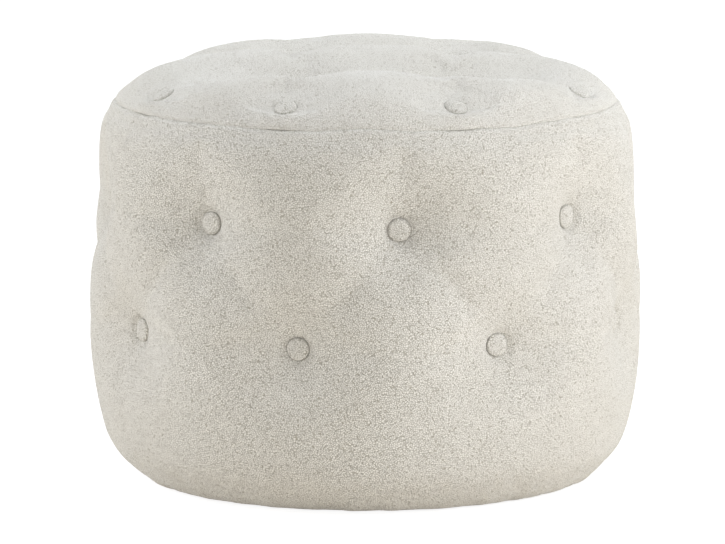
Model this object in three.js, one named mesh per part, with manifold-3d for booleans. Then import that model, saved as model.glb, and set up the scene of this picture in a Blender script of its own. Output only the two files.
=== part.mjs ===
// A round button-tufted tuffet in looped bouclé: covers, wadding and foam over a wooden drum.
// Millimetres, +Z up, the front looks along -Y, the floor is at zero.
// A turn is an angle round the tuffet, from the front (-Y) towards the right (+X).
import * as THREE from "three";
import { mergeVertices } from "three/addons/utils/BufferGeometryUtils.js";
import Module from "manifold-3d";

const wasm = await Module();
wasm.setup();

// Sizes of the frame
const drumRadius = 240;
const deckHeight = 380;
const boardThickness = 12;
const wallThickness = 3;
const wallJoint = 1.5;
const postCount = 4;
const postDepth = 35;
const postWidth = 42;
const frameGap = 0.3;

// Sizes of the padding over the frame
const girthPadding = 64;
const girthHeight = 200;
const seamPadding = 32;
const seamRise = 35;
const crownRise = 57;
const padRoundness = 2.3;
const crownFlatness = 4.2;
const crownShoulder = 1.8;
const leanSteepness = 12;

// Sizes of the hem under the foot
const hemClearance = 1.5;
const hemRise = 14;
const hemTurnIn = 35;

// Sizes of the layers
const coverThickness = 4;
const waddingThickness = 12;
const seamAllowance = 8;
const layerGap = 0.3;
const seamGap = 0.4;

// Sizes of the buttons and their ties
const buttonRadius = 12;
const buttonHeight = 7;
const buttonBorder = 1;
const tieRadius = 1;
const tieClearance = 0.9;
const toggleRadius = 5;
const toggleThickness = 2;

// A button's cap from its back to its middle, in shares of its radius and height
const capShares = [[0.9, 0], [1, 0.3], [0.72, 0.8], [0, 1]];

// Places of the buttons, with the padding left under the two rows on the side
const sideButtons = 8;
const upperRowDrop = 106;
const upperRowPadding = 26;
const upperRowTurn = 7.5;
const lowerRowDrop = 18;
const lowerRowPadding = 34;
const lowerRowTurn = 30;

// Places of the buttons round the rim of the top, which lean out with it
const rimSeatReach = 6;
const rimSeatRise = 16;
const rimLean = 30;
const rimTurns = [-61.5, -20, 22.5, 68, 113, 158, 202, 249];

// Places of the four buttons inside them, to the right and to the back, in shares of the drum's radius
const topSeatRise = 19;
const topButtonShares = [
  [-0.31, -0.38],
  [0.395, -0.37],
  [0.395, 0.37],
  [-0.31, 0.38],
];

// Sizes of the dimples round the buttons
const dimpleReach = 95;
const dimpleFade = 30;
const rimFade = 12;
const seatMargin = 6;
const slopeRadius = 34;

// Sizes of the screws
const screwLength = 45;
const screwRadius = 2;
const screwHeadRadius = 4;
const screwHeadDepth = 2.2;
const screwTip = 3;
const screwClearance = 0.3;

// Sizes of the parts under the base
const glideHeight = 5;
const glideRadius = 11;
const glideFaceRadius = 9;
const glideEdge = 2;
const glideNailRadius = 1.2;
const glideNailLength = 15;
const glideInset = 52;
const dustThickness = 0.8;
const dustInset = 22;

// Spacing of the points that shape the padding
const ringPoints = 30;
const fillSpacing = 52;
const clearShare = 0.6;
const edgeRingShares = [0.965, 0.87];
const shoulderDrop = 27;
const lowRowShares = [0.6, 0.28];
const besideShares = [0.35, 0.65];
const footRise = 0.3;
const hemSteps = 1;
const boardSides = 48;
const smallSides = 8;
const tieSides = 4;
const seatSides = 6;
const cutOverrun = 40;
const farShare = 60;
const circleShare = 1 - 1e-9;

// Turns in degrees
const fullTurn = 360;
const halfTurn = fullTurn / 2;
const quarterTurn = fullTurn / 4;

// Heights that follow from the sizes above
const seamHeight = deckHeight + seamRise;
const crownHeight = seamHeight + crownRise;
const topSeatHeight = seamHeight + topSeatRise;
const rimSeatHeight = seamHeight + rimSeatRise;
const dustBottom = glideHeight + layerGap;
const hemUnderside = dustBottom + dustThickness + layerGap;
const baseBottom = hemUnderside + coverThickness + layerGap;
const baseTop = baseBottom + boardThickness;
const topBoardBottom = deckHeight - boardThickness;
const footHeight = baseBottom + footRise;

// Radii and depths that follow from the sizes above
const girthRadius = drumRadius + girthPadding;
const seamRadius = drumRadius + seamPadding;
const hemRadius = drumRadius;
const hemRiseRadius = hemRadius - hemRise;
const hemEndRadius = hemRadius - hemTurnIn;
const wallInside = drumRadius - wallThickness;
const boardRadius = wallInside - frameGap;
const dustRadius = drumRadius - dustInset;
const glidePlaceRadius = drumRadius - glideInset;
const seatRadius = buttonRadius + buttonBorder;
const rimSeatRadius = drumRadius + rimSeatReach;
const waddingDepth = coverThickness + layerGap;
const foamDepth = waddingDepth + waddingThickness + layerGap;
const postReach = Math.sqrt((boardRadius - frameGap) ** 2 - (postWidth / 2) ** 2);
const postRadius = postReach - postDepth / 2 - frameGap;

// The rows of side buttons, and the posts halfway between one button's turn and the next
const upperRow = {
  name: "button_upper",
  height: seamHeight - upperRowDrop,
  seatRadius: drumRadius + upperRowPadding,
  turn: upperRowTurn,
};
const lowerRow = {
  name: "button_lower",
  height: girthHeight - lowerRowDrop,
  seatRadius: drumRadius + lowerRowPadding,
  turn: lowerRowTurn,
};
const postTurn = (lowerRowTurn + upperRowTurn + fullTurn / sideButtons) / 2;

const radians = THREE.MathUtils.degToRad;
const up = new THREE.Vector3(0, 0, 1);

// Materials

function fabric(color) {
  return new THREE.MeshStandardMaterial({ color, roughness: 0.97, metalness: 0 });
}

function wood(color) {
  return new THREE.MeshStandardMaterial({ color, roughness: 0.75, metalness: 0 });
}

const boucle = fabric(0xe9e6e0);
const wadding = fabric(0xf4f4f2);
const foam = fabric(0xf0e8c8);
const dustCloth = fabric(0x222222);
const plywood = wood(0xd8bd8c);
const hardboard = wood(0x8a6238);
const pine = wood(0xe0c394);
const zinc = new THREE.MeshStandardMaterial({ color: 0xb9bcc0, roughness: 0.35, metalness: 1 });
const nylon = new THREE.MeshStandardMaterial({ color: 0x2b2b2b, roughness: 0.5, metalness: 0 });

// Solids that can be cut, joined and turned back into geometry

function solidFrom(geometry) {
  const bare = geometry.clone();
  bare.deleteAttribute("normal");
  bare.deleteAttribute("uv");
  const merged = mergeVertices(bare);
  return new wasm.Manifold(
    new wasm.Mesh({
      numProp: 3,
      vertProperties: new Float32Array(merged.attributes.position.array),
      triVerts: new Uint32Array(merged.index.array),
    }),
  );
}

function geometryFrom(solid) {
  const mesh = solid.getMesh();
  const geometry = new THREE.BufferGeometry();
  geometry.setAttribute("position", new THREE.BufferAttribute(mesh.vertProperties, 3));
  geometry.setIndex(new THREE.BufferAttribute(mesh.triVerts, 1));
  const flat = geometry.toNonIndexed();
  flat.computeVertexNormals();
  return flat;
}

function cut(geometry, cutters) {
  const whole = solidFrom(geometry);
  return geometryFrom(cutters.reduce((solid, cutter) => solid.subtract(solidFrom(cutter)), whole));
}

function keepInside(geometry, limit) {
  return geometryFrom(solidFrom(geometry).intersect(solidFrom(limit)));
}

// A turned solid about the Z axis, from [radius, height] points that run upwards from the axis
function turned(points, sides) {
  const profile = points.map(([radius, height]) => new THREE.Vector2(radius, height));
  return new THREE.LatheGeometry(profile, sides).rotateX(Math.PI / 2);
}

function cylinder(radius, bottom, top, sides) {
  return turned([[0, bottom], [radius, bottom], [radius, top], [0, top]], sides);
}

// The level direction that a turn points in
function facing(turn) {
  return new THREE.Vector3(Math.sin(radians(turn)), -Math.cos(radians(turn)), 0);
}

function aroundAxis(turn, radius, height) {
  return facing(turn).multiplyScalar(radius).setZ(height);
}

// The outside of the padding before its buttons draw it in

function crownAt(radius) {
  const flat = Math.max(0, 1 - (radius / seamRadius) ** crownFlatness);
  return seamHeight + (crownHeight - seamHeight) * flat ** (1 / crownShoulder);
}

function sideRadiusAt(height) {
  const rising = height > girthHeight;
  const endHeight = rising ? seamHeight : hemClearance;
  const endRadius = rising ? seamRadius : hemRadius;
  const away = Math.min(1, (height - girthHeight) / (endHeight - girthHeight));
  return endRadius + (girthRadius - endRadius) * (1 - away ** padRoundness) ** (1 / padRoundness);
}

// How far a dimple is drawn in, from 1 at its button to 0 at its reach
function dimpleShare(distance) {
  const along = THREE.MathUtils.clamp((distance - seatRadius) / (dimpleReach - seatRadius), 0, 1);
  return (1 - along) ** 2;
}

// A dimple fades out towards the seam, so that the seam keeps its line
function fadeAt(fromSeam, fadeLength) {
  return THREE.MathUtils.clamp(fromSeam / fadeLength, 0, 1);
}

// Buttons: each has a seat on the padding, the way out of it, and the length of its tie

function rimButtonSeats() {
  const lean = radians(rimLean);
  const drop = rimSeatHeight - topBoardBottom + frameGap + toggleRadius * Math.sin(lean);
  return rimTurns.map((turn, i) => ({
    name: "button_rim_" + (i + 1),
    seat: aroundAxis(turn, rimSeatRadius, rimSeatHeight),
    out: facing(turn).multiplyScalar(Math.sin(lean)).setZ(Math.cos(lean)),
    tieLength: drop / Math.cos(lean),
  }));
}

function topButtonSeats() {
  return topButtonShares.map(([rightShare, backShare], i) => ({
    name: "button_top_" + (i + 1),
    seat: new THREE.Vector3(rightShare * drumRadius, backShare * drumRadius, topSeatHeight),
    out: up,
    tieLength: topSeatHeight - topBoardBottom + frameGap,
  }));
}

function sideButtonSeats(row) {
  return Array.from({ length: sideButtons }, (_, i) => {
    const turn = row.turn + (i * fullTurn) / sideButtons;
    return {
      name: row.name + "_" + (i + 1),
      seat: aroundAxis(turn, row.seatRadius, row.height),
      out: facing(turn),
      turn,
      row,
      tieLength: row.seatRadius - wallInside * Math.cos(Math.PI / boardSides) + frameGap + tieRadius,
    };
  });
}

const topSeats = [...rimButtonSeats(), ...topButtonSeats()];
const sideSeats = [...sideButtonSeats(upperRow), ...sideButtonSeats(lowerRow)];
const allSeats = [...topSeats, ...sideSeats];

// A button's own frame, with Z out of the padding
function outOfPadding(button) {
  return new THREE.Quaternion().setFromUnitVectors(up, button.out);
}

function tieHole(button) {
  const length = button.tieLength + buttonHeight;
  return cylinder(tieRadius + tieClearance, -length, buttonHeight, tieSides)
    .applyQuaternion(outOfPadding(button))
    .translate(...button.seat);
}

// A point of the padding: its spot on a flat map, its place on the outside, and the way in
function padPoint(spot, outside, inward, atSeam = false) {
  return { spot, outside, inward, atSeam };
}

const seamInward = new THREE.Vector2(drumRadius - seamRadius, deckHeight - seamHeight).normalize();

function isClear(point, others) {
  return others.every((other) => other.outside.distanceTo(point.outside) > clearShare * fillSpacing);
}

function addClear(points, candidates) {
  candidates.forEach((point) => {
    if (isClear(point, points)) points.push(point);
  });
}

// The corners of a ring round a button: steps across and up the surface, in millimetres
function ringSteps(radius, count) {
  return Array.from({ length: count }, (_, i) => {
    const angle = ((i + 0.5) * 2 * Math.PI) / count;
    return new THREE.Vector2(Math.cos(angle) * radius, Math.sin(angle) * radius);
  });
}

// The top: a round crown whose map is its plan

function topDip(x, y) {
  const depths = topSeats.map(({ seat }) => {
    const depth = crownAt(Math.hypot(seat.x, seat.y)) - seat.z;
    return depth * dimpleShare(Math.hypot(x - seat.x, y - seat.y));
  });
  return Math.max(...depths) * fadeAt(seamRadius - Math.hypot(x, y), rimFade);
}

function topPoint(x, y) {
  const radius = Math.hypot(x, y);
  const outside = new THREE.Vector3(x, y, crownAt(radius) - topDip(x, y));
  const atSeam = radius > seamRadius - layerGap;
  const leanShare = (radius / seamRadius) ** leanSteepness;
  const lean = new THREE.Vector2(0, -1).lerp(seamInward, leanShare).normalize();
  const inward = new THREE.Vector3((lean.x * x) / (radius || 1), (lean.x * y) / (radius || 1), lean.y);
  return padPoint(new THREE.Vector2(x, y), outside, inward, atSeam);
}

function topRing(radius) {
  return Array.from({ length: ringPoints }, (_, i) => {
    const at = aroundAxis((i * fullTurn) / ringPoints, radius, 0);
    return topPoint(at.x, at.y);
  });
}

function topSeatPoints(button) {
  const flat = [new THREE.Vector2(0, 0), ...ringSteps(seatRadius, seatSides)];
  return flat.map(({ x, y }) => {
    const step = new THREE.Vector3(x, y, 0).applyQuaternion(outOfPadding(button));
    const outside = step.add(button.seat);
    return padPoint(new THREE.Vector2(outside.x, outside.y), outside, button.out.clone().negate());
  });
}

function isOffSeats({ outside }) {
  return topSeats.every(({ seat }) => seat.distanceTo(outside) > seatRadius + seatMargin);
}

function topPatch() {
  const [outerShare, innerShare] = edgeRingShares;
  const points = [...topRing(seamRadius), ...topRing(seamRadius * outerShare).filter(isOffSeats)];
  points.push(...topSeats.flatMap(topSeatPoints));
  topSeats.forEach(({ seat }) => {
    const steps = ringSteps(slopeRadius, seatSides);
    const slope = steps.map((step) => topPoint(seat.x + step.x, seat.y + step.y));
    points.push(...slope.filter(({ spot }) => spot.length() < seamRadius * innerShare));
  });
  addClear(points, topRing(seamRadius * innerShare));
  const rows = Math.ceil(seamRadius / fillSpacing);
  for (let row = -rows; row <= rows; row += 1) {
    for (let column = -rows; column <= rows; column += 1) {
      const x = (column + (row % 2 ? 0.5 : 0)) * fillSpacing;
      const y = row * fillSpacing;
      if (Math.hypot(x, y) < seamRadius * innerShare) addClear(points, [topPoint(x, y)]);
    }
  }
  return { points, triangles: triangulate(points.map((point) => point.spot)) };
}

// The side: a band whose map is a flat ring, with the seam as its inner edge

function sideSpot(turn, height) {
  const radius = seamRadius * Math.exp((seamHeight - height) / girthRadius);
  const at = aroundAxis(turn, radius, 0);
  return new THREE.Vector2(at.x, at.y);
}

function sideDip(turn, height) {
  const depths = sideSeats.map((button) => {
    const crest = sideRadiusAt(button.row.height);
    const depth = crest - button.row.seatRadius;
    const turned = THREE.MathUtils.euclideanModulo(turn - button.turn + halfTurn, fullTurn) - halfTurn;
    return depth * dimpleShare(Math.hypot(radians(turned) * crest, height - button.row.height));
  });
  return Math.max(...depths) * fadeAt(seamHeight - height, dimpleFade);
}

function sidePoint(turn, height) {
  const outside = aroundAxis(turn, sideRadiusAt(height) - sideDip(turn, height), height);
  const atSeam = height === seamHeight;
  const lean = atSeam ? seamInward : new THREE.Vector2(-1, 0);
  const inward = facing(turn).multiplyScalar(lean.x).setZ(lean.y);
  return padPoint(sideSpot(turn, height), outside, inward, atSeam);
}

function sideRing(height) {
  return Array.from({ length: ringPoints }, (_, i) => sidePoint((i * fullTurn) / ringPoints, height));
}

function sideSeatPoints(button) {
  const flat = [new THREE.Vector2(0, 0), ...ringSteps(seatRadius, seatSides)];
  const across = facing(button.turn + quarterTurn);
  return flat.map((step) => {
    const outside = button.seat.clone().addScaledVector(across, step.x).addScaledVector(up, step.y);
    const turn = button.turn + THREE.MathUtils.radToDeg(step.x / button.row.seatRadius);
    return padPoint(sideSpot(turn, outside.z), outside, button.out.clone().negate());
  });
}

function sideSlopePoints(button) {
  return ringSteps(slopeRadius, seatSides).map((step) => {
    const turn = button.turn + THREE.MathUtils.radToDeg(step.x / button.row.seatRadius);
    return sidePoint(turn, button.row.height + step.y);
  });
}

// The hem: the cover alone goes on from the foot, under the edge and up to the base board
function hemPoints() {
  const rounding = Array.from({ length: hemSteps }, (_, i) => {
    const share = (i + 1) / hemSteps;
    const height = hemClearance + (footHeight - hemClearance) * (1 - share) ** 2;
    return [share === 1 ? hemRadius : sideRadiusAt(height), height, share];
  });
  const flat = [[hemRiseRadius, hemUnderside, 1], [hemEndRadius, hemUnderside, 1]];
  return [...rounding, ...flat].flatMap(([radius, height, rising], step) =>
    Array.from({ length: ringPoints }, (_, i) => {
      const turn = (i * fullTurn) / ringPoints;
      const inward = facing(turn).multiplyScalar(rising - 1).setZ(rising).normalize();
      const beyond = hemClearance - (step + 1) * seatRadius;
      return padPoint(sideSpot(turn, beyond), aroundAxis(turn, radius, height), inward);
    }),
  );
}

// Points on the full padding between the buttons, where it stands proud of them
function crestPoints() {
  const between = (upperRow.height + lowerRow.height) / 2;
  const heights = [between, ...lowRowShares.map((share) => share * lowerRow.height)];
  const beside = sideSeats.flatMap(({ turn, row }) =>
    besideShares.map((share) => sidePoint(turn + (share * fullTurn) / sideButtons, row.height)),
  );
  return [...heights.flatMap(sideRing), ...beside];
}

function sidePatch(hem) {
  const points = [...sideRing(seamHeight), ...sideRing(seamHeight - shoulderDrop)];
  points.push(...sideRing(footHeight));
  points.push(...sideSeats.flatMap(sideSeatPoints), ...sideSeats.flatMap(sideSlopePoints));
  points.push(...crestPoints());
  if (hem) points.push(...hemPoints());
  const inner = (corner) => points[corner].atSeam;
  const across = triangulate(points.map((point) => point.spot));
  const triangles = across.filter((corners) => !corners.every(inner));
  return { points, triangles };
}

// Delaunay triangles of spots on a flat map, made by adding one spot at a time
function triangulate(spots) {
  const far = farShare * Math.max(...spots.map((spot) => spot.length()));
  const outermost = [[-far, -far], [far, -far], [0, far]].map(([x, y]) => new THREE.Vector2(x, y));
  const all = [...spots, ...outermost];
  const circled = (corners) => {
    const [a, b, c] = corners.map((corner) => all[corner]);
    const ab = b.clone().sub(a);
    const ac = c.clone().sub(a);
    const twice = 2 * ab.cross(ac);
    const x = (ac.y * ab.lengthSq() - ab.y * ac.lengthSq()) / twice;
    const y = (ab.x * ac.lengthSq() - ac.x * ab.lengthSq()) / twice;
    return { corners, x: a.x + x, y: a.y + y, squared: x * x + y * y };
  };
  let found = [circled([spots.length, spots.length + 1, spots.length + 2])];
  spots.forEach((spot, index) => {
    const holds = ({ x, y, squared }) => (spot.x - x) ** 2 + (spot.y - y) ** 2 < squared * circleShare;
    const edges = new Map();
    found.filter(holds).forEach(({ corners: [a, b, c] }) => {
      [[a, b], [b, c], [c, a]].forEach(([from, to]) => {
        if (!edges.delete(to + " " + from)) edges.set(from + " " + to, [from, to]);
      });
    });
    found = found.filter((triangle) => !holds(triangle));
    edges.forEach(([from, to]) => found.push(circled([from, to, index])));
  });
  const isSpot = (corner) => corner < spots.length;
  return found.map(({ corners }) => corners).filter((corners) => corners.every(isSpot));
}

// The edges of a patch that only one triangle uses, in that triangle's own direction
function openEdges(triangles) {
  const edges = new Map();
  triangles.forEach(([a, b, c]) => {
    [[a, b], [b, c], [c, a]].forEach(([from, to]) => {
      if (!edges.delete(to + " " + from)) edges.set(from + " " + to, [from, to]);
    });
  });
  return [...edges.values()];
}

function meshGeometry(vertices, triangles) {
  const geometry = new THREE.BufferGeometry().setFromPoints(vertices);
  geometry.setIndex(triangles.flat());
  return geometry;
}

// How deep the inside of the cover lies, with its seam allowance turned in at the seam
function coverDepth(point) {
  return coverThickness + (point.atSeam ? seamAllowance : 0);
}

function pointAtDepth(point, depth, shift = 0) {
  const place = point.outside.clone().addScaledVector(point.inward, depth);
  if (point.atSeam) place.z += shift;
  return place;
}

// A layer between two depths of a patch, closed along the patch's edges
function layer(patch, outerDepth, innerDepth, shift) {
  const { points, triangles } = patch;
  const count = points.length;
  const outer = points.map((point) => pointAtDepth(point, outerDepth(point), shift));
  const inner = points.map((point) => pointAtDepth(point, innerDepth(point), shift));
  const faces = triangles.flatMap(([a, b, c]) => [[a, b, c], [c + count, b + count, a + count]]);
  openEdges(triangles).forEach(([from, to]) => {
    faces.push([to, from, from + count], [to, from + count, to + count]);
  });
  return meshGeometry([...outer, ...inner], faces);
}

function coverLayer(patch, shift) {
  return layer(patch, () => 0, coverDepth, shift);
}

function waddingLayer(patch, shift) {
  return layer(patch, (point) => coverDepth(point) + layerGap, () => foamDepth - layerGap, shift);
}

// The whole foam body inside the wadding, before it is split at the deck
function foamBody(top, side) {
  const topCount = top.points.length;
  const vertices = [...top.points, ...side.points].map((point) => pointAtDepth(point, foamDepth));
  const sideTriangles = side.triangles.map((corners) => corners.map((corner) => corner + topCount));
  const centre = vertices.push(new THREE.Vector3(0, 0, footHeight)) - 1;
  const footEdges = openEdges(sideTriangles).filter(([from]) => !side.points[from - topCount].atSeam);
  const floor = footEdges.map(([from, to]) => [to, from, centre]);
  return meshGeometry(vertices, [...top.triangles, ...sideTriangles, ...floor]);
}

function topFoam(body) {
  const above = cylinder(girthRadius, deckHeight + frameGap, crownHeight + cutOverrun, boardSides);
  return keepInside(body, above);
}

function sideFoam(body) {
  const above = cylinder(girthRadius, deckHeight, crownHeight + cutOverrun, boardSides);
  const drum = cylinder(drumRadius + frameGap, -cutOverrun, crownHeight, boardSides);
  return cut(body, [above, drum]);
}

// The frame

function board(bottom, ties) {
  const disc = cylinder(boardRadius, bottom, bottom + boardThickness, boardSides);
  return cut(disc, [...ties.map(tieHole), ...screws.map((screw) => screw.hole)]);
}

function drumWall() {
  const bottom = baseBottom;
  const top = deckHeight;
  const section = [[wallInside, bottom], [drumRadius, bottom], [drumRadius, top], [wallInside, top]];
  const ring = turned([...section, section[0]], boardSides);
  const joint = new THREE.BoxGeometry(wallJoint, wallThickness + cutOverrun, top + cutOverrun);
  const behind = aroundAxis(halfTurn, drumRadius, top / 2);
  return cut(ring, [joint.translate(...behind), ...sideSeats.map(tieHole)]);
}

function postHeight() {
  return topBoardBottom - baseTop - 2 * frameGap;
}

function postTurnAt(index) {
  return postTurn + (index * fullTurn) / postCount;
}

function post(index) {
  const turn = postTurnAt(index);
  const box = new THREE.BoxGeometry(postWidth, postDepth, postHeight());
  const place = aroundAxis(turn, postRadius, (topBoardBottom + baseTop) / 2);
  const placed = box.rotateZ(radians(turn)).translate(...place);
  return cut(placed, screws.map((screw) => screw.hole));
}

// A countersunk screw with its head face at zero and its point upwards
function screwBody() {
  return turned(
    [
      [0, frameGap],
      [screwHeadRadius, frameGap],
      [screwRadius, screwHeadDepth],
      [screwRadius, screwLength - screwTip],
      [0, screwLength],
    ],
    smallSides,
  );
}

function screwHole() {
  const head = screwHeadRadius + screwClearance;
  const shank = screwRadius + screwClearance;
  return turned(
    [
      [0, -cutOverrun],
      [head, -cutOverrun],
      [head, frameGap],
      [shank, screwHeadDepth + screwClearance],
      [shank, screwLength - screwTip],
      [0, screwLength + screwClearance],
    ],
    smallSides,
  );
}

function screwAt(name, turn, height, downwards) {
  const place = (geometry) => {
    if (downwards) geometry.rotateX(Math.PI);
    return geometry.translate(...aroundAxis(turn, postRadius, height));
  };
  return { name, body: place(screwBody()), hole: place(screwHole()) };
}

function frameScrews() {
  return Array.from({ length: postCount }, (_, i) => {
    const turn = postTurnAt(i);
    return [
      screwAt("screw_top_" + (i + 1), turn, deckHeight, true),
      screwAt("screw_base_" + (i + 1), turn, baseBottom, false),
    ];
  }).flat();
}

const screws = frameScrews();

// A covered button: domed cap, twine through the padding, and the toggle behind the panel
function buttonGeometry({ tieLength }) {
  const cap = capShares.map(([outShare, upShare]) => [
    outShare * buttonRadius,
    layerGap + upShare * buttonHeight,
  ]);
  return turned(
    [
      [0, -tieLength - toggleThickness],
      [toggleRadius, -tieLength - toggleThickness],
      [toggleRadius, -tieLength],
      [tieRadius, -tieLength],
      [tieRadius, layerGap],
      ...cap,
    ],
    smallSides,
  );
}

// Parts under the base

function glideGeometry() {
  const nailTop = glideHeight + glideNailLength;
  return turned(
    [
      [0, 0],
      [glideFaceRadius, 0],
      [glideRadius, glideEdge],
      [glideRadius, glideHeight],
      [glideNailRadius, glideHeight],
      [glideNailRadius, nailTop],
      [0, nailTop],
    ],
    smallSides * 2,
  );
}

function glideHole(index) {
  const radius = glideNailRadius + screwClearance;
  const top = glideHeight + glideNailLength + screwClearance;
  const hole = cylinder(radius, -cutOverrun, top, smallSides);
  return hole.translate(...aroundAxis(postTurnAt(index), glidePlaceRadius, 0));
}

function glideHoles() {
  return Array.from({ length: postCount }, (_, i) => glideHole(i));
}

function dustCover() {
  return cut(cylinder(dustRadius, dustBottom, dustBottom + dustThickness, boardSides), glideHoles());
}

// Assembly

const tuffet = new THREE.Group();

function add(group, name, geometry, material) {
  const mesh = new THREE.Mesh(geometry, material);
  mesh.name = name;
  group.add(mesh);
  return mesh;
}

const top = topPatch();
const side = sidePatch(false);
const sideWithHem = sidePatch(true);
const foamSolid = foamBody(top, side);
const topTies = topSeats.map(tieHole);
const sideTies = sideSeats.map(tieHole);

const upholstery = new THREE.Group();
add(upholstery, "top_cover", cut(coverLayer(top, seamGap / 2), topTies), boucle);
add(upholstery, "side_cover", cut(coverLayer(sideWithHem, -seamGap / 2), sideTies), boucle);
add(upholstery, "top_wadding", cut(waddingLayer(top, seamGap / 2), topTies), wadding);
add(upholstery, "side_wadding", cut(waddingLayer(side, -seamGap / 2), sideTies), wadding);
add(upholstery, "top_foam", cut(topFoam(foamSolid), topTies), foam);
add(upholstery, "side_foam", cut(sideFoam(foamSolid), sideTies), foam);
tuffet.add(upholstery);

const frame = new THREE.Group();
add(frame, "top_board", board(topBoardBottom, topSeats), plywood);
add(frame, "base_board", cut(board(baseBottom, []), glideHoles()), plywood);
add(frame, "drum_wall", drumWall(), hardboard);
for (let i = 0; i < postCount; i += 1) add(frame, "post_" + (i + 1), post(i), pine);
screws.forEach((screw) => add(frame, screw.name, screw.body, zinc));
tuffet.add(frame);

const buttons = new THREE.Group();
allSeats.forEach((button) => {
  const mesh = add(buttons, button.name, buttonGeometry(button), boucle);
  mesh.position.copy(button.seat);
  mesh.quaternion.copy(outOfPadding(button));
});
tuffet.add(buttons);

const base = new THREE.Group();
add(base, "dust_cover", dustCover(), dustCloth);
for (let i = 0; i < postCount; i += 1) {
  const glide = add(base, "glide_" + (i + 1), glideGeometry(), nylon);
  glide.position.copy(aroundAxis(postTurnAt(i), glidePlaceRadius, 0));
}
tuffet.add(base);

export default tuffet;
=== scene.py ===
"""A round button-tufted tuffet in cream looped boucle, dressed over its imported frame.

Metres, +Z up, the front looks along -Y, the floor is at zero. A turn is an angle round
the tuffet, from the front (-Y) towards the right (+X), in radians.
"""

import math
from itertools import product

import bpy
import numpy as np
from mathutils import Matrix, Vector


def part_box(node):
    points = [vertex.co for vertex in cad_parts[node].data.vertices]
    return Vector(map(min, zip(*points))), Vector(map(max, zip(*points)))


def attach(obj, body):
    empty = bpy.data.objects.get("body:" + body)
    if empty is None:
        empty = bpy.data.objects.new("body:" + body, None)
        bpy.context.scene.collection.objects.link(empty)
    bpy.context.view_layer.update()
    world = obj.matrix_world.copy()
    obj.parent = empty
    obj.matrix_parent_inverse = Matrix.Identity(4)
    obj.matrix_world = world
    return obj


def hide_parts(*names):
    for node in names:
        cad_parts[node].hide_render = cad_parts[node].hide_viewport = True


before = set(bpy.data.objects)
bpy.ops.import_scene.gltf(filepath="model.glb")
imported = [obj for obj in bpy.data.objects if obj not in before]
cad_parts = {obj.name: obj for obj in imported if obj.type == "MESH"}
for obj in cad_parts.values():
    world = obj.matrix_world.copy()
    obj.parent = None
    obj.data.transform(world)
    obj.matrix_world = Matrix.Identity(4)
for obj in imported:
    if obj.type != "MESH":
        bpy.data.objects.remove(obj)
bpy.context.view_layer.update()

MM = 0.001
TAU = 2 * math.pi

# The padded form. The cloth starts inside the frame's girth and swells out to it
DRUM_RADIUS = 240 * MM
DECK_HEIGHT = 380 * MM
WALL_INSIDE = 237 * MM
WALL_SIDES = 48
GIRTH_RADIUS = 298.5 * MM
GIRTH_HEIGHT = 200 * MM
SEAM_RADIUS = 272 * MM
SEAM_HEIGHT = 415 * MM
CROWN_HEIGHT = 472 * MM
HEM_RADIUS = 238 * MM
HEM_CLEARANCE = 1.5 * MM
HEM_RISE_RADIUS = 222 * MM
HEM_END_RADIUS = 205 * MM
HEM_UNDERSIDE = 6.4 * MM
FOOT_HEIGHT = 12 * MM
LAYER_FOOT = 20 * MM
PAD_ROUNDNESS = 2.3
FOOT_ROUNDNESS = 2.2
FOOT_TUCK = 8 * MM
FOOT_TUCK_HEIGHT = 50 * MM
CROWN_FLATNESS = 4.2
CROWN_SHOULDER = 1.8
CROWN_RUN = 310 * MM

# Layers, outside to inside
COVER = 4 * MM
TURN_IN = 12 * MM
LAYER_GAP = 0.3 * MM
WADDING_DEPTH = 4.3 * MM
FOAM_DEPTH = 16.6 * MM
LEAN_DROP = 27 * MM
LEAN_STEEPNESS = 12
FOOT_LEAN_START = 70 * MM
FOOT_LEAN_RUN = 50 * MM
SEAM_LEAN = np.array([DRUM_RADIUS - SEAM_RADIUS, DECK_HEIGHT - SEAM_HEIGHT])
SEAM_LEAN = SEAM_LEAN / np.linalg.norm(SEAM_LEAN)

# Buttons and the dimples round them
BUTTON_RADIUS = 12 * MM
TIE_RADIUS = 1 * MM
TOGGLE_RADIUS = 5 * MM
TOGGLE_THICKNESS = 2 * MM
SEAT_RADIUS = 13 * MM
DIMPLE_REACH = 95 * MM
DIMPLE_FADE = 30 * MM
SIDE_STEEPNESS = 2.7
TOP_STEEPNESS = 2
RIM_FADE = 17 * MM
VALLEY_WIDTH = 22 * MM
VALLEY_DEPTH = 6 * MM
LEVEL_VALLEY_DEPTH = 3 * MM
SEAM_VALLEY_DEPTH = 4 * MM
TOP_BOARD_BOTTOM = 368 * MM

# Rows of buttons round the side: height, radius of the seats, and turn of the first button
ROW_BUTTONS = 8
UPPER_ROW = (309 * MM, 266 * MM, math.radians(7.5))
LOWER_ROW = (182 * MM, 274 * MM, math.radians(30))

# Buttons round the rim of the top, which lean out with it, by height and radius, and four inside them,
# by their places to the right and the back as shares of the drum's radius
RIM_SEAT = (431 * MM, 246 * MM)
RIM_LEAN = math.radians(30)
RIM_TURNS = np.radians([-61.5, -20, 22.5, 68, 113, 158, 202, 249])
TOP_SEAT = 434 * MM
TOP_BUTTON_SHARES = np.array([(-0.31, -0.38), (0.395, -0.37), (0.395, 0.37), (-0.31, 0.38)])

# Valleys of the top between neighbouring buttons, the rim's counted from 0 and the inner ones from 8:
# the pairs that they join, their width and their depth. They stop short of the rim's buttons
TOP_VALLEYS = [
    ([(0, 8), (8, 9), (9, 3)], 60 * MM, 25 * MM),
    ([(7, 11), (11, 10), (10, 4)], 42 * MM, 27 * MM),
    ([(1, 8), (8, 11), (2, 9), (9, 10)], 38 * MM, 9 * MM),
    ([(11, 6), (10, 5)], 38 * MM, 4 * MM),
]
RIM_VALLEY_SHARE = 0.7

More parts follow.
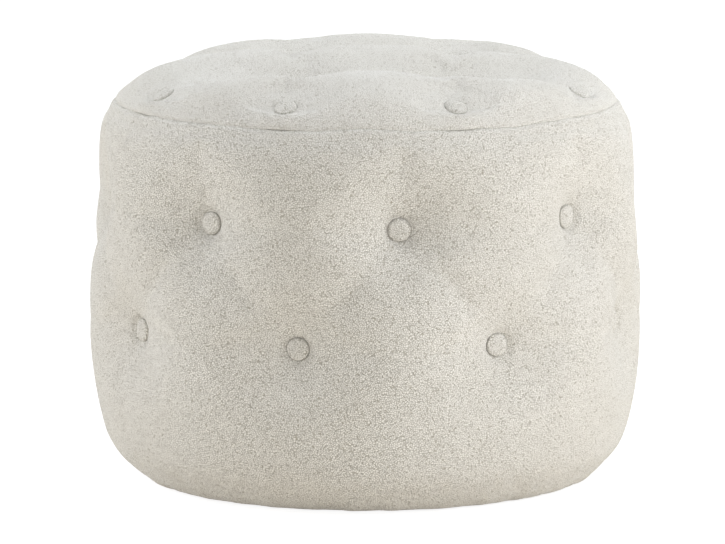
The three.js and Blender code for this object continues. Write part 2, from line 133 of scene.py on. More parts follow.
# Shoulders of the top that lie lower: place to the right, place to the back, width and depth
LOW_SHOULDERS = np.array([(-220, 50, 70, 12), (228, 50, 60, 10)]) * MM

# A low place on the right of the side: turn, height, width and depth
LOW_SIDE = (math.radians(88), 307 * MM, 50 * MM, 8 * MM)

# The cloth under tension: what is pinned, how far it may move, its extra length and the air behind it
PIN_REACH = 15 * MM
SEAM_ROWS_HELD = 3
FOOT_HELD = 24 * MM
TOP_HELD_SHARE = 0.92
SIDE_SWELL = 8 * MM
TOP_SWELL = 5 * MM
CLOTH_SLACK = 0.015
CLOTH_STEPS = 20
AIR_PRESSURE = 4

# Details of the cloth: its gathers and collars at the buttons, fullness at the seam, puckers and nubs
GATHER_REACH = 32 * MM
GATHER_WIDTH = 5 * MM
GATHER_SHARE = 0.6
SEAT_REACH = 60 * MM
FLAT_RADIUS = 11 * MM
FLAT_RUN = 8 * MM
BARE_RADIUS = 10.5 * MM
BARE_RUN = 2 * MM
COLLAR = 2.8 * MM
RIM_COLLAR = 4.2 * MM
COLLAR_START = 11.1 * MM
COLLAR_RISE = 1.7 * MM
COLLAR_CREST = 15 * MM
COLLAR_FALL = 24 * MM
COLLAR_UNEVENNESS = 0.8 * MM
SEAM_FULLNESS = 2.5 * MM
SEAM_FULLNESS_REACH = 8 * MM
SEAM_WAVE_REACH = 25 * MM
PUCKER_DEPTH = 7 * MM
PUCKER_HEIGHT = 6 * MM
PUCKER_REACH = 22 * MM
NUB = 3.6 * MM
NUB_SPREAD = 0.7
NUB_HEIGHT = 0.25 * MM
SLOW_HEIGHT = 0.15 * MM
CAP_NUB_HEIGHT = 0.3 * MM
CAP_UNEVENNESS = 0.6 * MM
DUST_FACES = (0.1 * MM, 0.5 * MM)
DUST_SAG = 0.25 * MM

# Spacing of the surfaces: first over the cloth that is simulated, then over the faces that are shown.
# Each lip lists the runs from a seam's edge at which its roll is followed
SIDE_COLUMNS = 240
SIDE_ROWS = 66
TOP_CELLS = 80
FINE_COLUMNS = 960
SIDE_LIP = np.array([0, 0.3, 0.7, 1.2, 1.8, 2.6, 3.6, 5.0]) * MM
SIDE_EVEN_FROM = 6.9 * MM
SIDE_SPACING = 2 * MM
TOP_LIP = np.array([0, 0.5, 1.1, 1.8, 2.7, 3.8, 5.2, 7]) * MM
TOP_SPACING = 2.1 * MM
LAYER_COLUMNS = 360
OUTLINE_POINTS = 900
BUTTON_COLUMNS = 56


# Numbers and shapes

def facing(turn):
    """The level unit vector at each turn: sine, minus cosine, zero."""
    turn = np.asarray(turn, float)
    return np.stack([np.sin(turn), -np.cos(turn), np.zeros_like(turn)], -1)


def even_turns(count):
    """Even turns once round the tuffet."""
    return np.arange(count) * TAU / count


def unit(vectors):
    """Each vector over its own length."""
    return vectors / np.maximum(np.linalg.norm(vectors, axis=-1, keepdims=True), 1e-12)


def ease(t):
    """A smooth step: three t squared less two t cubed, with t held to 0..1."""
    t = np.clip(t, 0, 1)
    return t * t * (3 - 2 * t)


def read_at(grid, down, along, closed):
    """A grid of points read between its rows and columns with cubic B-spline weights.

    At a share t of a span the four points round it weigh (1-t)^3, 3t^3-6t^2+4,
    -3t^3+3t^2+3t+1 and t^3, over six. Open ends are continued straight on, and closed
    columns wrap round.
    """
    grid = np.concatenate([2 * grid[:1] - grid[1:2], grid, 2 * grid[-1:] - grid[-2:-1]], 0)
    if closed:
        ends = grid[:, -1:], grid[:, :2]
    else:
        ends = 2 * grid[:, :1] - grid[:, 1:2], 2 * grid[:, -1:] - grid[:, -2:-1]
    grid = np.concatenate([ends[0], grid, ends[1]], 1)
    down, along = np.broadcast_arrays(np.asarray(down, float), np.asarray(along, float))

    def spans(place, count):
        first = np.clip(np.floor(place).astype(int), 0, count - 4)
        t = place - first
        weights = [(1 - t) ** 3, 3 * t ** 3 - 6 * t ** 2 + 4, -3 * t ** 3 + 3 * t ** 2 + 3 * t + 1, t ** 3]
        return first, [weight / 6 for weight in weights]

    row, row_weights = spans(down, grid.shape[0])
    column, column_weights = spans(along, grid.shape[1])
    total = 0
    for i, row_weight in enumerate(row_weights):
        for j, column_weight in enumerate(column_weights):
            total = total + (row_weight * column_weight)[..., None] * grid[row + i, column + j]
    return total


def grid_normals(points, closed):
    """Unit normals of a grid: its step down the rows crossed with its step along the columns."""
    if closed:
        along = np.roll(points, -1, 1) - np.roll(points, 1, 1)
    else:
        along = np.gradient(points, axis=1)
    return unit(np.cross(np.gradient(points, axis=0), along))


def grid_faces(rows, columns, closed, first=0):
    """Squares of a grid of rows and columns, numbered row by row from first, facing its normals."""
    last = columns if closed else columns - 1
    row, column = np.meshgrid(np.arange(rows - 1), np.arange(last), indexing="ij")
    right = (column + 1) % columns
    here, below = row * columns, (row + 1) * columns
    corners = np.stack([here + column, below + column, below + right, here + right], -1)
    return first + corners.reshape(-1, 4)


def fan_faces(ring, centre, outwards):
    """Triangles from a ring of vertices to one centre vertex, turned round where outwards is false."""
    following = np.roll(ring, -1)
    pair = (ring, following) if outwards else (following, ring)
    return np.stack([pair[0], pair[1], np.full(len(ring), centre)], -1)


def mesh_piece(name, vertices, faces, materials, shares=None):
    """A smooth mesh object at the origin, from vertices and blocks of faces.

    Shares gives the number of each block's material.
    """
    mesh = bpy.data.meshes.new(name)
    vertices = np.asarray(vertices, np.float32).reshape(-1, 3)
    mesh.vertices.add(len(vertices))
    mesh.vertices.foreach_set("co", vertices.ravel())
    counts = [len(block) for block in faces]
    sizes = np.repeat([block.shape[1] for block in faces], counts).astype(np.int32)
    mesh.loops.add(int(sizes.sum()))
    corners = np.concatenate([block.ravel() for block in faces]).astype(np.int32)
    mesh.loops.foreach_set("vertex_index", corners)
    mesh.polygons.add(len(sizes))
    mesh.polygons.foreach_set("loop_start", (np.cumsum(sizes) - sizes).astype(np.int32))
    for material in materials:
        mesh.materials.append(material)
    if shares is not None:
        mesh.polygons.foreach_set("material_index", np.repeat(shares, counts).astype(np.int32))
    mesh.polygons.foreach_set("use_smooth", np.ones(len(sizes), bool))
    mesh.update(calc_edges=True)
    piece = bpy.data.objects.new(name, mesh)
    bpy.context.scene.collection.objects.link(piece)
    return piece


def scattered(cell, salt):
    """A number from 0 to 1 for each whole-numbered cell, the same each time.

    The cell's three numbers and the salt are multiplied by large primes, folded and shifted.
    """
    folded = (cell[..., 0] * 73856093) ^ (cell[..., 1] * 19349663) ^ (cell[..., 2] * 83492791)
    folded = folded ^ (salt * 2654435761)
    folded = (folded ^ (folded >> 13)) * 1274126177 & 0xFFFFFFFF
    folded = (folded ^ (folded >> 16)) * 2246822519 & 0xFFFFFFFF
    return (folded >> 8).astype(float) / float(1 << 24)


def nub_height(points, size):
    """Looped yarn as little domes from 0 to 1, one to each cube of a size, at a scattered spot in it."""
    place = points / size
    cell = np.floor(place).astype(np.int64)
    nearest = np.full(points.shape[:-1], 9.0)
    for step in product((-1, 0, 1), repeat=3):
        other = cell + np.array(step)
        spot = np.stack([scattered(other, salt) for salt in (1, 2, 3)], -1)
        nearest = np.minimum(nearest, ((other + spot - place) ** 2).sum(-1))
    return np.clip(1 - nearest / NUB_SPREAD, 0, 1)


def soft_noise(points, size, salt):
    """Slow unevenness from 0 to 1: scattered numbers at the corners of cubes, eased between them."""
    place = points / size
    cell = np.floor(place).astype(np.int64)
    share = ease(place - cell)
    total = 0
    for step in product((0, 1), repeat=3):
        weight = np.abs(1 - np.array(step) - share)
        corner = scattered(cell + np.array(step), salt)
        total = total + corner * (weight[..., 0] * weight[..., 1] * weight[..., 2])
    return total


# The undimpled form

def crown_height(radius):
    """Height of the top at a radius: the seam's height and the crown's rise times (1 - share^a)^(1/b).

    The share is the radius over the seam's, a is the flatness and b the shoulder.
    """
    flat = np.clip(1 - (radius / SEAM_RADIUS) ** CROWN_FLATNESS, 0, 1)
    return SEAM_HEIGHT + (CROWN_HEIGHT - SEAM_HEIGHT) * flat ** (1 / CROWN_SHOULDER)


def side_radius(height):
    """Radius of the side at a height: from the girth to the seam or the hem by (1 - away^n)^(1/n).

    Near the floor the foot is tucked in more, by the square of the share of the way down.
    """
    rising = height > GIRTH_HEIGHT
    end_height = np.where(rising, SEAM_HEIGHT, HEM_CLEARANCE)
    end_radius = np.where(rising, SEAM_RADIUS, HEM_RADIUS)
    away = np.clip((height - GIRTH_HEIGHT) / (end_height - GIRTH_HEIGHT), 0, 1)
    roundness = np.where(rising, PAD_ROUNDNESS, FOOT_ROUNDNESS)
    tuck = FOOT_TUCK * np.clip(1 - height / FOOT_TUCK_HEIGHT, 0, 1) ** 2
    return end_radius + (GIRTH_RADIUS - end_radius) * (1 - away ** roundness) ** (1 / roundness) - tuck


def even_steps(line, count):
    """Points at even steps along a line of points, by its running length, and that length."""
    run = np.concatenate([[0], np.cumsum(np.linalg.norm(np.diff(line, axis=0), axis=1))])
    places = np.linspace(0, run[-1], count)
    return np.stack([np.interp(places, run, line[:, k]) for k in range(line.shape[1])], -1), run[-1]


def side_outline():
    """The side in section, from the seam over the girth to the foot and in under the base, at even steps."""
    angle = np.linspace(0, math.pi / 2, OUTLINE_POINTS)
    upper = GIRTH_HEIGHT + (SEAM_HEIGHT - GIRTH_HEIGHT) * np.cos(angle)
    lower = GIRTH_HEIGHT - (GIRTH_HEIGHT - HEM_CLEARANCE) * np.sin(angle)
    height = np.concatenate([upper, lower[1:]])
    line = np.stack([side_radius(height), height], -1)
    hem = [(HEM_RISE_RADIUS, HEM_UNDERSIDE), (HEM_END_RADIUS, HEM_UNDERSIDE)]
    return even_steps(np.concatenate([line, hem]), SIDE_ROWS)


# Buttons and what they draw in

def numbered_buttons(name, seats, outs, turns, tie, collar=COLLAR):
    """Buttons as name, seat, way out, turn, length of the tie and height of the collar of cloth."""
    return [
        {"name": f"{name}_{i + 1}", "seat": seat, "out": out, "turn": turn, "tie": tie, "collar": collar}
        for i, (seat, out, turn) in enumerate(zip(seats, outs, turns))
    ]


def side_buttons(name, row):
    """Eight level buttons of one row, with ties that reach in through the drum's wall."""
    height, radius, first = row
    turns = first + even_turns(ROW_BUTTONS)
    tie = radius - WALL_INSIDE * math.cos(math.pi / WALL_SIDES) + LAYER_GAP + TIE_RADIUS
    ways = facing(turns)
    return numbered_buttons(name, ways * radius + (0, 0, height), ways, turns, tie)


def rim_buttons():
    """Eight buttons round the rim of the top, leaning out, with ties that reach under the top board."""
    height, radius = RIM_SEAT
    lean, rise = math.sin(RIM_LEAN), math.cos(RIM_LEAN)
    tie = (height - TOP_BOARD_BOTTOM + LAYER_GAP + TOGGLE_RADIUS * lean) / rise
    ways = facing(RIM_TURNS)
    seats, outs = ways * radius + (0, 0, height), ways * lean + (0, 0, rise)
    return numbered_buttons("button_rim", seats, outs, RIM_TURNS, tie, RIM_COLLAR)


def top_buttons():
    """The four upright inner buttons of the top."""
    tie = TOP_SEAT - TOP_BOARD_BOTTOM + LAYER_GAP
    seats = np.insert(TOP_BUTTON_SHARES * DRUM_RADIUS, 2, TOP_SEAT, axis=1)
    outs = np.tile([0.0, 0.0, 1.0], (len(seats), 1))
    return numbered_buttons("button_top", seats, outs, np.zeros(len(seats)), tie)


TOP_BUTTONS = rim_buttons() + top_buttons()
UPPER_BUTTONS = side_buttons("button_upper", UPPER_ROW)
LOWER_BUTTONS = side_buttons("button_lower", LOWER_ROW)
ALL_BUTTONS = TOP_BUTTONS + UPPER_BUTTONS + LOWER_BUTTONS


def dimple_share(distance, steepness):
    """How far a dimple is drawn in: (1 - along) to its steepness, from its seat to its reach."""
    return (1 - np.clip((distance - SEAT_RADIUS) / (DIMPLE_REACH - SEAT_RADIUS), 0, 1)) ** steepness


def nearest_turn(turn):
    """A turn as its nearest way round, from minus half a turn to half a turn."""
    return (turn + math.pi) % TAU - math.pi


def valley_share(across, up, ends, width=VALLEY_WIDTH):
    """A soft valley between two buttons: a bell curve across it, eased out beyond its ends."""
    (x0, y0), (x1, y1) = ends
    length = math.hypot(x1 - x0, y1 - y0)
    along = ((across - x0) * (x1 - x0) + (up - y0) * (y1 - y0)) / length
    aside = ((across - x0) * (y1 - y0) - (up - y0) * (x1 - x0)) / length
    beyond = np.maximum(-along, 0) + np.maximum(along - length, 0)
    return np.exp(-(aside ** 2 + beyond ** 2) / width ** 2)


def together(depths):
    """Several dips as one without a hard edge: the cube root of the sum of their cubes."""
    return (np.stack(depths) ** 3).sum(0) ** (1 / 3)


def top_dip(x, y):
    """How far the top lies below its undimpled crown at a spot."""
    seats = [button["seat"] for button in TOP_BUTTONS]
    ends = [seat[:2] * (RIM_VALLEY_SHARE if i < len(RIM_TURNS) else 1) for i, seat in enumerate(seats)]
    depths = []
    for seat in seats:
        fall = crown_height(math.hypot(seat[0], seat[1])) - seat[2]
        depths.append(fall * dimple_share(np.hypot(x - seat[0], y - seat[1]), TOP_STEEPNESS))
    for pairs, width, depth in TOP_VALLEYS:
        shares = [valley_share(x, y, (ends[a], ends[b]), width) for a, b in pairs]
        depths.append(depth * np.max(shares, 0))
    for right, back, width, depth in LOW_SHOULDERS:
        depths.append(depth * np.exp(-((x - right) ** 2 + (y - back) ** 2) / width ** 2))
    return together(depths) * np.clip((SEAM_RADIUS - np.hypot(x, y)) / RIM_FADE, 0, 1)


def side_dip(turn, height):
    """How far the side lies inside its undimpled round at a turn and height."""
    depths = []
    for row_height, row_radius, first in (UPPER_ROW, LOWER_ROW):
        crest = float(side_radius(np.array(row_height)))
        for i in range(ROW_BUTTONS):
            aside = nearest_turn(turn - first - i * TAU / ROW_BUTTONS) * crest
            share = dimple_share(np.hypot(aside, height - row_height), SIDE_STEEPNESS)
            depths.append((crest - row_radius) * share)
    to_lower = LOWER_ROW[2] - UPPER_ROW[2]
    for i in range(ROW_BUTTONS):
        from_upper = nearest_turn(turn - UPPER_ROW[2] - i * TAU / ROW_BUTTONS) * GIRTH_RADIUS
        for step in (to_lower, to_lower - TAU / ROW_BUTTONS):
            ends = ((0, UPPER_ROW[0]), (step * GIRTH_RADIUS, LOWER_ROW[0]))
            depths.append(VALLEY_DEPTH * valley_share(from_upper, height, ends))
        for row_height, _, first in (UPPER_ROW, LOWER_ROW):
            begin = (first - UPPER_ROW[2]) * GIRTH_RADIUS
            ends = ((begin, row_height), (begin - TAU / ROW_BUTTONS * GIRTH_RADIUS, row_height))
            depths.append(LEVEL_VALLEY_DEPTH * valley_share(from_upper, height, ends))
        to_seam = ((0, UPPER_ROW[0]), (0, SEAM_HEIGHT - DIMPLE_FADE))
        depths.append(SEAM_VALLEY_DEPTH * valley_share(from_upper, height, to_seam))
    low_turn, low_height, width, depth = LOW_SIDE
    aside = nearest_turn(turn - low_turn) * GIRTH_RADIUS
    depths.append(depth * np.exp(-(aside ** 2 + (height - low_height) ** 2) / width ** 2))
    return together(depths) * np.clip((SEAM_HEIGHT - height) / DIMPLE_FADE, 0, 1)


# The cover under tension: cloth held at its seams and buttons, with air behind it

def puffed(points, closed, held, slack, limit):
    """A grid of points after some steps of cloth under air pressure.

    The cloth is the grid itself, cut a little large by slack, pinned where held is true,
    with gravity off. No point is taken further than limit from where it began.
    """
    rows, columns = points.shape[:2]
    faces = grid_faces(rows, columns, closed)
    cloth = mesh_piece("cloth", points, [faces], [])
    pins = cloth.vertex_groups.new(name="pins")
    pins.add([int(i) for i in np.flatnonzero(held)], 1.0, "REPLACE")
    modifier = cloth.modifiers.new("pressure", "CLOTH")
    settings = modifier.settings
    settings.quality = 6
    settings.mass = 0.25
    settings.tension_stiffness = 18
    settings.compression_stiffness = 12
    settings.shear_stiffness = 6
    settings.bending_stiffness = 1.5
    settings.vertex_group_mass = "pins"
    settings.use_pressure = True
    settings.uniform_pressure_force = AIR_PRESSURE
    settings.shrink_min = -slack
    settings.effector_weights.gravity = 0
    modifier.collision_settings.use_collision = False
    scene = bpy.context.scene
    for step in range(1, CLOTH_STEPS + 1):
        scene.frame_set(step)
    shown = cloth.evaluated_get(bpy.context.evaluated_depsgraph_get())
    after = np.zeros(rows * columns * 3, np.float32)
    shown.data.vertices.foreach_get("co", after)
    bpy.data.objects.remove(cloth)
    scene.frame_set(1)
    move = after.reshape(points.shape).astype(float) - points
    length = np.linalg.norm(move, axis=-1, keepdims=True)
    return points + move * np.minimum(1, limit / np.maximum(length, 1e-9))


def near_seats(points, buttons, reach):
    """Whether each point lies within reach of the seat of a button."""
    return np.any([np.linalg.norm(points - button["seat"], axis=-1) < reach for button in buttons], 0)


# The side as a grid: rows from the seam down and under, columns round it

side_line, side_run = side_outline()
side_turns = even_turns(SIDE_COLUMNS)
row_radius, row_height = side_line[:, 0], side_line[:, 1]
last_side_row = int(np.argmin(row_height))
on_side = (np.arange(SIDE_ROWS) <= last_side_row)[:, None]
dipped = row_radius[:, None] - side_dip(side_turns[None, :], row_height[:, None]) * on_side
side_grid = facing(side_turns)[None] * dipped[..., None]
side_grid[..., 2] = row_height[:, None]


# The top as a grid: a square laid on the disc, at even steps over the crown

def crown_outline():
    """Radius and height of the crown against the share of its length from the middle to the seam."""
    radius = SEAM_RADIUS * np.sin(np.linspace(0, math.pi / 2, OUTLINE_POINTS))
    return even_steps(np.stack([radius, crown_height(radius)], -1), OUTLINE_POINTS)[0]


crown_line = crown_outline()


def on_disc(across, back):
    """A square from -1 to 1 laid on the unit disc, by the root of 1 less half the other way squared."""
    x = across * np.sqrt(1 - back ** 2 / 2)
    y = back * np.sqrt(1 - across ** 2 / 2)
    return x, y


def crown_points(across, back):
    """Points of the crown over a square: the disc's share of the way out, taken along the crown's outline."""
    x, y = on_disc(across, back)
    share = np.hypot(x, y)
    at = np.linspace(0, 1, len(crown_line))
    radius = np.interp(share, at, crown_line[:, 0])
    height = np.interp(share, at, crown_line[:, 1])
    scale = radius / np.maximum(share, 1e-9)
    return np.stack([x * scale, y * scale, height], -1)


square = np.linspace(-1, 1, TOP_CELLS + 1)
top_grid = crown_points(square[None, :], -square[:, None])
top_grid[..., 2] -= top_dip(top_grid[..., 0], top_grid[..., 1])
top_edge = np.hypot(*on_disc(square[None, :], -square[:, None]))

side_held = near_seats(side_grid, UPPER_BUTTONS + LOWER_BUTTONS, PIN_REACH)
side_held[:SEAM_ROWS_HELD] = True
side_held[row_height < FOOT_HELD] = True
side_grid = puffed(side_grid, True, side_held, CLOTH_SLACK, SIDE_SWELL)
top_held = near_seats(top_grid, TOP_BUTTONS, PIN_REACH) | (top_edge > TOP_HELD_SHARE)
top_grid = puffed(top_grid, False, top_held, CLOTH_SLACK, TOP_SWELL)


# Ways in through the layers

def side_inward(down):
    """The way in at a row: level on the side, leaning down to the frame at the seam, and up under the hem."""
    tangent = np.gradient(side_line, axis=0)
    normal = unit(np.stack([tangent[:, 1], -tangent[:, 0]], -1))
    seam_share = ease(1 - (SEAM_HEIGHT - row_height) / LEAN_DROP)[:, None]
    foot_share = ease((FOOT_LEAN_START - row_height) / FOOT_LEAN_RUN)[:, None]
    level = np.array([-1.0, 0.0]) * (1 - seam_share - foot_share)
    way = unit(level + SEAM_LEAN * seam_share + normal * foot_share)
    return np.stack([np.interp(down, np.arange(SIDE_ROWS), way[:, k]) for k in range(2)], -1)


def side_at(down, turn, depth):
    """Points of the side at rows and turns, and at a depth inside the cover's face."""
    down, turn = np.broadcast_arrays(np.asarray(down, float), np.asarray(turn, float))
    points = read_at(side_grid, down, turn / TAU * SIDE_COLUMNS, True)
    way = side_inward(down)
    inward = facing(turn) * way[..., :1]
    inward[..., 2] = way[..., 1]
    return points + inward * depth


def top_at(down, along, depth):
    """Points of the top at rows and columns of its grid, and at a depth inside the cover's face."""
    points = read_at(top_grid, down, along, False)
    radius = np.linalg.norm(points[..., :2], axis=-1, keepdims=True)
    share = np.clip(radius / SEAM_RADIUS, 0, 1) ** LEAN_STEEPNESS
    way = unit(np.array([0.0, -1.0]) * (1 - share) + SEAM_LEAN * share)
    level = points[..., :2] / np.maximum(radius, 1e-9) * way[..., :1]
    return points + np.concatenate([level, way[..., 1:]], -1) * depth


# Details of the cover's face

def gathered(down, along, at, buttons):
    """Places on a grid drawn closer together where a button's rim presses in.

    A place goes to the rim's distance plus what lies beyond it, times 1 - s exp(-(beyond / w)^2).
    The grid's own slopes give the step in rows and columns that takes it there.
    """
    down, along = (np.array(places) for places in np.broadcast_arrays(down, along))
    points = at(down, along, 0)
    small = 0.002
    for button in buttons:
        near = np.linalg.norm(points - button["seat"], axis=-1) < GATHER_REACH
        across = facing(button["turn"] + math.pi / 2)
        plane = np.stack([across, np.cross(button["out"], across)], -1)
        here, row, column = points[near], down[near], along[near]
        offset = (here - button["seat"]) @ plane
        distance = np.maximum(np.linalg.norm(offset, axis=-1, keepdims=True), 1e-6)
        beyond = distance - SEAT_RADIUS
        wanted = SEAT_RADIUS + beyond * (1 - GATHER_SHARE * np.exp(-(beyond / GATHER_WIDTH) ** 2))
        move = offset * (wanted / distance - 1)
        by_row = (at(row + small, column, 0) - here) @ plane / small
        by_column = (at(row, column + small, 0) - here) @ plane / small
        area = by_row[:, 0] * by_column[:, 1] - by_row[:, 1] * by_column[:, 0]
        down[near] += (move[:, 0] * by_column[:, 1] - move[:, 1] * by_column[:, 0]) / area
        along[near] += (move[:, 1] * by_row[:, 0] - move[:, 0] * by_row[:, 1]) / area
    return down, along


def seat_buttons(points, buttons):
    """Points near each button laid flat under it, with a collar of cloth pressed up round its rim.

    The second result is 0 under the buttons and 1 where the cloth is free to show its nubs.
    """
    points = points.copy()
    free = np.ones(points.shape[:-1])
    for button in buttons:
        offset = points - button["seat"]
        rise = offset @ button["out"]
        aside = np.linalg.norm(offset - rise[..., None] * button["out"], axis=-1)
        near = np.linalg.norm(offset, axis=-1) < SEAT_REACH
        flat = ease((aside - FLAT_RADIUS) / FLAT_RUN)
        press = (soft_noise(points, 6 * MM, 6) - 0.5) * COLLAR_UNEVENNESS
        collar = button["collar"] * ease((aside - COLLAR_START - press) / COLLAR_RISE)
        collar = collar * (1 - ease((aside - COLLAR_CREST) / COLLAR_FALL))
        move = np.where(near, rise * flat + collar - rise, 0)
        points += move[..., None] * button["out"]
        free = np.minimum(free, np.where(near, ease((aside - BARE_RADIUS) / BARE_RUN), 1))
    return points, free


def nubbed(points, normals, free):
    """Points moved out along their normals by the nubs of the looped yarn and its slow unevenness."""
    height = nub_height(points, NUB) * (0.7 + 0.6 * soft_noise(points, 11 * MM, 7))
    slow = soft_noise(points, 26 * MM, 9) - 0.5
    lift = (height * NUB_HEIGHT + slow * SLOW_HEIGHT) * free
    return points + normals * lift[..., None]


def rolled_in(run, radius):
    """How far an edge that rolls in over a radius has moved, at a run from the edge: a quarter circle."""
    left = np.clip(radius - run, 0, radius)
    return radius - np.sqrt(radius ** 2 - left ** 2)


def seam_fullness(turn, run):
    """How far the cloth stands out at the seam's edge: its fullness less a roll of 0.05 to 0.5 mm."""
    roll = np.clip(soft_noise(facing(turn) * 12, 1.0, 8) - 0.35, 0.05, 0.5) * MM
    return SEAM_FULLNESS * np.exp(-(run / SEAM_FULLNESS_REACH) ** 2) - rolled_in(run, roll)


def seam_wave(turn, run):
    """How far the seam wanders up and down at a turn, up to 3 mm, fading with the run from it."""
    around = facing(turn)
    slow, quick = soft_noise(around * 5, 1.0, 11) - 0.5, soft_noise(around * 16, 1.0, 12) - 0.5
    return (slow * 5 + quick * 1.5) * (1 - ease(run / SEAM_WAVE_REACH)) * MM


def row_of_height(height):
    """The row of the side at a height, counted from the seam."""
    order = np.arange(last_side_row, -1, -1)
    return np.interp(height, row_height[order], order)


# Materials

def surface(name, **values):
    """A new material: its nodes, links, and Principled shader with the given constant values."""
    material = bpy.data.materials.new(name)
    material.use_nodes = True
    nodes, links = material.node_tree.nodes, material.node_tree.links
    shader = nodes["Principled BSDF"]
    for socket, value in values.items():
        shader.inputs[socket.replace("_", " ")].default_value = value
    return material, nodes, links, shader


def textured(nodes, links, kind, coordinates, **values):
    """A texture node that reads the given coordinates, with its constant values and settings."""
    node = nodes.new(kind)
    for key, value in values.items():
        if key[0].isupper():
            node.inputs[key.replace("_", " ")].default_value = value
        else:
            setattr(node, key, value)
    links.new(coordinates, node.inputs["Vector"])
    return node


def noise(nodes, links, coordinates, scale, **values):
    """A noise from 0 to 1 over the given coordinates."""
    return textured(nodes, links, "ShaderNodeTexNoise", coordinates, Scale=scale, **values).outputs["Fac"]


def ramp(nodes, links, source, stops):
    """A colour ramp over a value, from pairs of place and colour."""
    node = nodes.new("ShaderNodeValToRGB")
    elements = node.color_ramp.elements
    for index, (place, color) in enumerate(stops):
        element = elements[index] if index < 2 else elements.new(place)
        element.position = place
        element.color = (*color, 1)
    links.new(source, node.inputs["Fac"])
    return node.outputs["Color"]


def remap(nodes, links, source, low, high, to_low=0.0, to_high=1.0):
    """A value carried from one range to another and held inside it."""
    node = nodes.new("ShaderNodeMapRange")
    for socket, value in (("From Min", low), ("From Max", high), ("To Min", to_low), ("To Max", to_high)):
        node.inputs[socket].default_value = value
    links.new(source, node.inputs["Value"])
    return node.outputs["Result"]


def sums(nodes, links, operation, first, second):
    """One arithmetic step between a value and another value or number."""
    node = nodes.new("ShaderNodeMath")
    node.operation = operation
    for socket, value in zip(node.inputs, (first, second)):
        if isinstance(value, (int, float)):
            socket.default_value = value
        else:
            links.new(value, socket)
    return node.outputs[0]


def mixed(nodes, links, share, first, second, blend="MIX"):
    """Two colours blended by a share."""
    node = nodes.new("ShaderNodeMix")
    node.data_type = "RGBA"
    node.blend_type = blend
    for socket, value in ((node.inputs[0], share), (node.inputs[6], first), (node.inputs[7], second)):
        if isinstance(value, (int, float)):
            socket.default_value = value
        elif isinstance(value, tuple):
            socket.default_value = (*value, 1)
        else:
            links.new(value, socket)
    return node.outputs[2]


def bumped(nodes, links, shader, height, distance):
    """Height as bump on the shader's normal."""
    node = nodes.new("ShaderNodeBump")
    node.inputs["Distance"].default_value = distance
    links.new(height, node.inputs["Height"])
    links.new(node.outputs["Normal"], shader.inputs["Normal"])


def object_coordinates(nodes):
    """The object's own coordinates, in metres."""
    return nodes.new("ShaderNodeTexCoord").outputs["Object"]


def stretched(nodes, links, coordinates, scale):
    """Coordinates times a scale for each axis."""
    node = nodes.new("ShaderNodeMapping")
    node.inputs["Scale"].default_value = scale
    links.new(coordinates, node.inputs["Vector"])
    return node.outputs[0]


def shifted(nodes, links, coordinates, noise_scale, reach):
    """Coordinates moved about by a noise, so that a regular pattern wanders."""
    cloud = textured(nodes, links, "ShaderNodeTexNoise", coordinates, Scale=noise_scale, Detail=2.0)
    away = nodes.new("ShaderNodeVectorMath")
    away.operation = "SUBTRACT"
    away.inputs[1].default_value = (0.5, 0.5, 0.5)
    links.new(cloud.outputs["Color"], away.inputs[0])
    scaled = nodes.new("ShaderNodeVectorMath")
    scaled.operation = "SCALE"
    scaled.inputs["Scale"].default_value = reach
    links.new(away.outputs[0], scaled.inputs[0])
    moved = nodes.new("ShaderNodeVectorMath")
    moved.operation = "ADD"
    links.new(coordinates, moved.inputs[0])
    links.new(scaled.outputs[0], moved.inputs[1])
    return moved.outputs[0]


def looped_boucle(name, gap_shade):
    """Cream boucle: small curls of yarn with thin gaps between them painted dark as shade, and fine fibres
    over them.
    """
    material, nodes, links, shader = surface(
        name, Roughness=0.95, Sheen_Weight=0.45, Sheen_Roughness=0.4, Specular_IOR_Level=0.1,
    )
    place = object_coordinates(nodes)
    wandering = shifted(nodes, links, place, 240.0, 1.5 * MM)
    curls = textured(
        nodes, links, "ShaderNodeTexVoronoi", wandering, Scale=480.0, feature="DISTANCE_TO_EDGE",
    ).outputs["Distance"]
    fibres = noise(nodes, links, place, 1500.0, Detail=1.0)
    slow = noise(nodes, links, place, 9.0, Detail=1.0)
    body = remap(nodes, links, curls, 0.0, 0.11)
    yarn = ramp(nodes, links, fibres, [(0.3, (0.81, 0.79, 0.735)), (0.7, (0.89, 0.875, 0.83))])
    # Painted shade: the thin gaps between the curls take the darker gap colour
    shaded = mixed(nodes, links, body, gap_shade, yarn)
    tone = ramp(nodes, links, slow, [(0.35, (0.97, 0.965, 0.955)), (0.65, (1.0, 1.0, 1.0))])
    links.new(mixed(nodes, links, 1.0, shaded, tone, "MULTIPLY"), shader.inputs["Base Color"])
    bumped(nodes, links, shader, body, 0.7 * MM)
    return material


def plain_fibre(name, pale, dark, scale, roughness, relief):
    """A soft fibrous finish: two tones by a wandering noise, with the same noise as relief."""
    material, nodes, links, shader = surface(name, Roughness=roughness, Specular_IOR_Level=0.2)
    place = object_coordinates(nodes)
    wandering = shifted(nodes, links, place, scale * 0.4, 0.6 / scale)
    fibres = noise(nodes, links, wandering, scale, Detail=6.0, Roughness=0.7)
    links.new(ramp(nodes, links, fibres, [(0.32, dark), (0.66, pale)]), shader.inputs["Base Color"])
    bumped(nodes, links, shader, fibres, relief)
    return material


